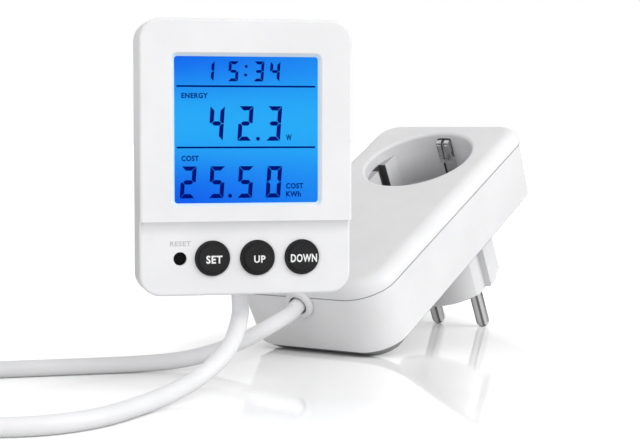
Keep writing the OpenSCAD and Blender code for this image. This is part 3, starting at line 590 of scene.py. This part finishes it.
def make_cover():
    """White shell with painted shade down the recess, on its guide flats, and in the guide and clip slots.
    """
    made, tree, shader = material("adapter_cover")
    height = height_over(tree, OUT, SOCKET)
    along = calculate(tree, "ABSOLUTE", height_over(tree, ALONG, SOCKET))
    across = calculate(tree, "ABSOLUTE", height_over(tree, ACROSS, SOCKET))
    radius = distance_from_axis(tree, OUT, SOCKET)
    normal = tree.nodes.new("ShaderNodeNewGeometry").outputs["Normal"]
    level = spread(tree, vector_step(tree, "DOT_PRODUCT", normal, OUT), 0, 1, *LEDGE_LEVEL)
    ledge = all_of(tree, level, short_of(tree, height, *LEDGE_TOP))
    guide = all_of(tree, short_of(tree, along, *GUIDE_SIDE), past(tree, across, *GUIDE_INNER),
                   short_of(tree, height, *GUIDE_TOP), short_of(tree, across, *GUIDE_OUTER))
    slot = all_of(tree, past(tree, radius, *CLIP_INNER), short_of(tree, radius, *CLIP_OUTER),
                  short_of(tree, height, *CLIP_TOP))
    # Painted shade down the recess, darker towards its floor
    colour = tinted(tree, short_of(tree, height, *RECESS_FLOOR), cloudy(tree, *WHITE), DEEP_SHADE_TONE)
    # Painted shade on the level ledge tops of the guide flats
    colour = tinted(tree, ledge, colour, LEDGE_SHADE_TONE)
    # Painted shade, nearly black, in the guide slots
    colour = tinted(tree, guide, colour, GUIDE_SHADE_TONE)
    # Painted shade, black, in the clip slots
    finish_moulded(tree, shader, tinted(tree, slot, colour, BLACK_SHADE_TONE), SHELL_ROUGH)
    return made


def make_base():
    """White shell with painted shade as a dark line in the parting groove and on the chamfer at the
    bottom.
    """
    made, tree, shader = material("adapter_base")
    height = height_over(tree, OUT, SOCKET)
    # Painted shade: a dark line in the parting groove
    colour = tinted(tree, past(tree, height, *SEAM_FOOT), cloudy(tree, *WHITE), SEAM_SHADE_TONE)
    # Painted shade on the bottom chamfer, which faces the floor
    colour = tinted(tree, short_of(tree, height, *CHAMFER_TOP), colour, CHAMFER_SHADE_TONE)
    finish_moulded(tree, shader, colour, SHELL_ROUGH)
    return made


PIN_OFFSET = 9.5
PIN_R = 2.4
# Greys of the painted reflections across a pin, from one side to the other
PIN_REFLECTION_GREYS = ((0, 0.5), (0.035, 0.9), (0.13, 1.0), (0.18, 0.22), (0.28, 0.22), (0.35, 0.78), (0.66, 0.78),
               (0.74, 0.2), (1, 0.15))


def make_pins():
    """Metal pins with painted reflections as streaks along their length, and painted contact shadow and
    reflection at their tips.
    """
    made, tree, shader = material("pin_painted_reflections")
    across = height_over(tree, ACROSS, SOCKET)
    middle = calculate(tree, "MULTIPLY", calculate(tree, "SIGN", across), PIN_OFFSET * MM)
    painted_sheen_across = past(tree, calculate(tree, "SUBTRACT", across, middle), -PIN_R, PIN_R)
    # Painted contact shadow and reflection, nearly black, at the pin tips
    tip = short_of(tree, height_over(tree, OUT, SOCKET), *PIN_END)
    colour = tinted(tree, tip, grey_ramp(tree, painted_sheen_across, PIN_REFLECTION_GREYS, blue=1.01), BLACK_SHADE_TONE)
    tree.links.new(colour, shader.inputs["Base Color"])
    set_roughness(tree, shader, noise(tree, *DRAWN_LINES), 0.14, 0.24)
    bump(tree, shader, noise(tree, 2500, 3), 2e-6)
    shader.inputs["Metallic"].default_value = 1
    return made


def make_glass():
    made, tree, shader = material("clear_window")
    shader.inputs["Transmission Weight"].default_value = 1
    shader.inputs["IOR"].default_value = 1.06
    shader.inputs["Base Color"].default_value = (0.97, 0.99, 1, 1)
    set_roughness(tree, shader, noise(tree, 300, 2), 0.0, 0.02)
    return made


SCREEN_X = (-18, 20)
SCREEN_Z = (26, 67)
SCREEN_LEVELS = ((0, 0.0), (0.2, 0.25), (0.4, 0.95), (0.65, 1.0), (0.85, 0.4), (1, 0.1))
SCREEN_RIGHT = 0.38
SCREEN_DEEP = (0.001, 0.085, 0.80, 1)
SCREEN_LIGHT = (0.018, 0.40, 0.89, 1)
SCREEN_UNLIT = (0.01, 0.03, 0.08, 1)


def split_place(tree):
    split = tree.nodes.new("ShaderNodeSeparateXYZ")
    tree.links.new(surface_point(tree), split.inputs[0])
    return split.outputs


def make_screen():
    """Backlit blue, deeper towards the top left and the foot, lighter in the middle and to the right."""
    made, tree, shader = material("screen_blue")
    place = split_place(tree)
    across = past(tree, place["X"], *(DISPLAY.x + x for x in SCREEN_X))
    upward = past(tree, place["Z"], *(DISPLAY.z + z for z in SCREEN_Z))
    side = tree.nodes.new("ShaderNodeMix")
    tree.links.new(spread(tree, across, 0, SCREEN_RIGHT, 0, 1), side.inputs["Factor"])
    tree.links.new(grey_ramp(tree, upward, SCREEN_LEVELS, interpolation="B_SPLINE"), side.inputs[NUMBER_A])
    side.inputs[NUMBER_B].default_value = 1
    blue = tree.nodes.new("ShaderNodeMix")
    blue.data_type = "RGBA"
    blue.inputs[COLOUR_A].default_value = SCREEN_DEEP
    blue.inputs[COLOUR_B].default_value = SCREEN_LIGHT
    tree.links.new(side.outputs[NUMBER_OUT], blue.inputs["Factor"])
    shader.inputs["Base Color"].default_value = SCREEN_UNLIT
    tree.links.new(blue.outputs[COLOUR_OUT], shader.inputs["Emission Color"])
    shader.inputs["Emission Strength"].default_value = 1.0
    shader.inputs["Specular IOR Level"].default_value = 0
    set_roughness(tree, shader, noise(tree, *PATCHES), 0.45, 0.6)
    return made


WINDOW_MIDDLE_Z = 46.6
WINDOW_HALF = (20.45, 20.5)
BEVEL_REACH = (0.2, 1.0)


def make_display_shell():
    """White shell whose window bevel has a painted pale blue glow from the screen."""
    made, tree, shader = material("display_shell")
    place = split_place(tree)
    reach = []
    for axis, middle, half in zip("XZ", (DISPLAY.x, DISPLAY.z + WINDOW_MIDDLE_Z), WINDOW_HALF):
        away = calculate(tree, "ABSOLUTE", calculate(tree, "SUBTRACT", place[axis], middle * MM))
        reach.append(calculate(tree, "SUBTRACT", away, half * MM))
    # Painted light: the screen's pale blue glow on the window bevel
    near = short_of(tree, calculate(tree, "MAXIMUM", *reach), *BEVEL_REACH)
    finish_moulded(tree, shader, tinted(tree, near, cloudy(tree, *WHITE), PAINTED_GLOW_TONE), SHELL_ROUGH)
    return made


looks["clear_window"] = make_glass()
looks["screen_blue"] = make_screen()
slot_of = {row["node"]: row["material_slot"] for row in frame["record"]["subparts"]}
for name, obj in nodes.items():
    obj.data.materials.clear()
    obj.data.materials.append(looks[slot_of[name]])
nodes["adapter_cover"].data.materials[0] = make_cover()
nodes["adapter_base"].data.materials[0] = make_base()
nodes["plug_pins"].data.materials[0] = make_pins()
nodes["display_front"].data.materials[0] = make_display_shell()
nodes["reset_key"].data.materials[0] = reset_dark
cord.data.materials.append(looks["cord_white"])
lens.data.materials.append(looks["clear_window"])
digits.data.materials.append(segment_ink)
labels.data.materials.append(label_ink)
reset_word.data.materials.append(grey_ink)
cove.data.materials.append(looks["white_shell"])
for piece in legends.values():
    piece.data.materials.append(legend_ink)


# Stage
FLOOR_SIZE = 6
FLOOR_BOUNCE = 0.75
FLOOR_FAR_BOUNCE = 0.08
FLOOR_MATTE = (0.71, 0.71, 0.71, 1)
FLOOR_SHINE = (0.42, 0.42, 0.42, 1)
FLOOR_ROUGH = 0.06
BEHIND = (-0.75, 0.66, 0)
BESIDE = (1, 0, 0)
# Glow of the floor: strength at the start and at the end, and where these are, in metres
GLOW_BEHIND = (0, 0.24, 0.03, 0.06)
GLOW_BESIDE = (0, 0.4, 0.056, 0.085)
GLOW_AROUND = (0, 0.42, 0.1, 0.24)
GLOW_FAR = (0, 0.6, 0.3, 0.9)


def floor_glow(tree, away):
    """Light added to the floor away from the object, sooner behind it and on its right."""
    behind = spread(tree, vector_step(tree, "DOT_PRODUCT", surface_point(tree), BEHIND), *GLOW_BEHIND)
    beside = spread(tree, vector_step(tree, "DOT_PRODUCT", surface_point(tree), BESIDE), *GLOW_BESIDE)
    around = spread(tree, away, *GLOW_AROUND)
    near = calculate(tree, "MAXIMUM", around, calculate(tree, "MAXIMUM", behind, beside))
    return calculate(tree, "ADD", near, spread(tree, away, *GLOW_FAR))


def make_floor():
    """White glossy sheet: it mirrors the object, keeps its shadow and runs out into white around it."""
    made = bpy.data.materials.new("floor")
    made.use_nodes = True
    tree = made.node_tree
    tree.nodes.clear()
    new, link = tree.nodes.new, tree.links.new
    rays = new("ShaderNodeLightPath")
    away = vector_step(tree, "LENGTH", surface_point(tree))
    sheet = new("ShaderNodeMix")
    link(rays.outputs["Is Glossy Ray"], sheet.inputs["Factor"])
    sheet.inputs[NUMBER_A].default_value = FLOOR_BOUNCE
    link(spread(tree, away, FLOOR_BOUNCE, FLOOR_FAR_BOUNCE, 0.12, 0.25), sheet.inputs[NUMBER_B])
    bounce = new("ShaderNodeBsdfDiffuse")
    link(sheet.outputs[NUMBER_OUT], bounce.inputs["Color"])
    matte = new("ShaderNodeBsdfDiffuse")
    matte.inputs["Color"].default_value = FLOOR_MATTE
    shine = new("ShaderNodeBsdfGlossy")
    shine.inputs["Color"].default_value = FLOOR_SHINE
    shine.inputs["Roughness"].default_value = FLOOR_ROUGH
    glow = new("ShaderNodeEmission")
    link(floor_glow(tree, away), glow.inputs["Strength"])
    lit = new("ShaderNodeAddShader")
    link(matte.outputs[0], lit.inputs[0])
    link(shine.outputs[0], lit.inputs[1])
    seen = new("ShaderNodeAddShader")
    link(lit.outputs[0], seen.inputs[0])
    link(glow.outputs[0], seen.inputs[1])
    mix = new("ShaderNodeMixShader")
    link(rays.outputs["Is Camera Ray"], mix.inputs["Fac"])
    link(bounce.outputs[0], mix.inputs[1])
    link(seen.outputs[0], mix.inputs[2])
    out = new("ShaderNodeOutputMaterial")
    link(mix.outputs[0], out.inputs["Surface"])
    size = FLOOR_SIZE
    corners = [(-size, -size, 0), (size, -size, 0), (size, size, 0), (-size, size, 0)]
    floor = add_mesh("floor", corners, [(0, 1, 2, 3)])
    floor.data.materials.append(made)


WORLD_LIT = 0.56
WORLD_SEEN = 1
# Strength in reflections from the front to the back, and the two directions it runs between
ROOM = (0.2, 1, -0.4, 0.1)


def make_world():
    """White surroundings: plain light, a white background, and a darker front in reflections."""
    world = bpy.data.worlds.new("studio")
    scene.world = world
    world.use_nodes = True
    tree = world.node_tree
    tree.nodes.clear()
    new, link = tree.nodes.new, tree.links.new
    out = new("ShaderNodeOutputWorld")
    seen = new("ShaderNodeBackground")
    seen.inputs["Strength"].default_value = WORLD_SEEN
    seen.inputs["Color"].default_value = (1, 1, 1, 1)
    lit = new("ShaderNodeBackground")
    lit.inputs["Strength"].default_value = WORLD_LIT
    lit.inputs["Color"].default_value = (1, 1, 1, 1)
    rays = new("ShaderNodeLightPath")
    direct = calculate(tree, "MAXIMUM", rays.outputs["Is Camera Ray"], rays.outputs["Is Glossy Ray"])
    mix = new("ShaderNodeMixShader")
    link(calculate(tree, "MAXIMUM", direct, rays.outputs["Is Transmission Ray"]), mix.inputs["Fac"])
    link(lit.outputs[0], mix.inputs[1])
    link(seen.outputs[0], mix.inputs[2])
    room = new("ShaderNodeBackground")
    facing = new("ShaderNodeSeparateXYZ")
    link(new("ShaderNodeTexCoord").outputs["Generated"], facing.inputs[0])
    link(spread(tree, facing.outputs["Y"], *ROOM), room.inputs["Strength"])
    mirrored = new("ShaderNodeMixShader")
    link(rays.outputs["Is Glossy Ray"], mirrored.inputs["Fac"])
    link(mix.outputs[0], mirrored.inputs[1])
    link(room.outputs[0], mirrored.inputs[2])
    link(mirrored.outputs[0], out.inputs["Surface"])


def make_lamp(name, place, aim, size, power):
    data = bpy.data.lights.new(name, "AREA")
    data.shape = "RECTANGLE"
    data.size, data.size_y = size
    data.energy = power
    lamp = bpy.data.objects.new(name, data)
    lamp.location = place
    lamp.rotation_euler = (Vector(aim) - Vector(place)).to_track_quat("-Z", "Y").to_euler()
    scene.collection.objects.link(lamp)


# Lamps: name, place, aim, size, power
LAMPS = [
    ("key", (0.75, -0.75, 0.75), (0, 0, 0.03), (0.8, 0.8), 5.8),
    ("right", (1.2, -0.3, 0.35), (0, 0, 0.04), (0.6, 0.6), 3.1),
    ("front", (0.1, -1.0, 0.9), (0, 0, 0.03), (0.9, 0.6), 2.45),
    ("left", (-0.6, -1.0, 0.4), (0, 0, 0.04), (0.7, 0.5), 0.52),
    ("low", (-0.5, -0.55, 0.06), (-0.02, -0.02, 0.03), (0.5, 0.1), 0.64),
    ("high", (-0.9, -0.1, 0.8), (0, 0, 0.04), (0.7, 0.7), 0.4),
]
make_floor()
make_world()
for lamp in LAMPS:
    make_lamp(*lamp)
scene.view_settings.view_transform = "Standard"
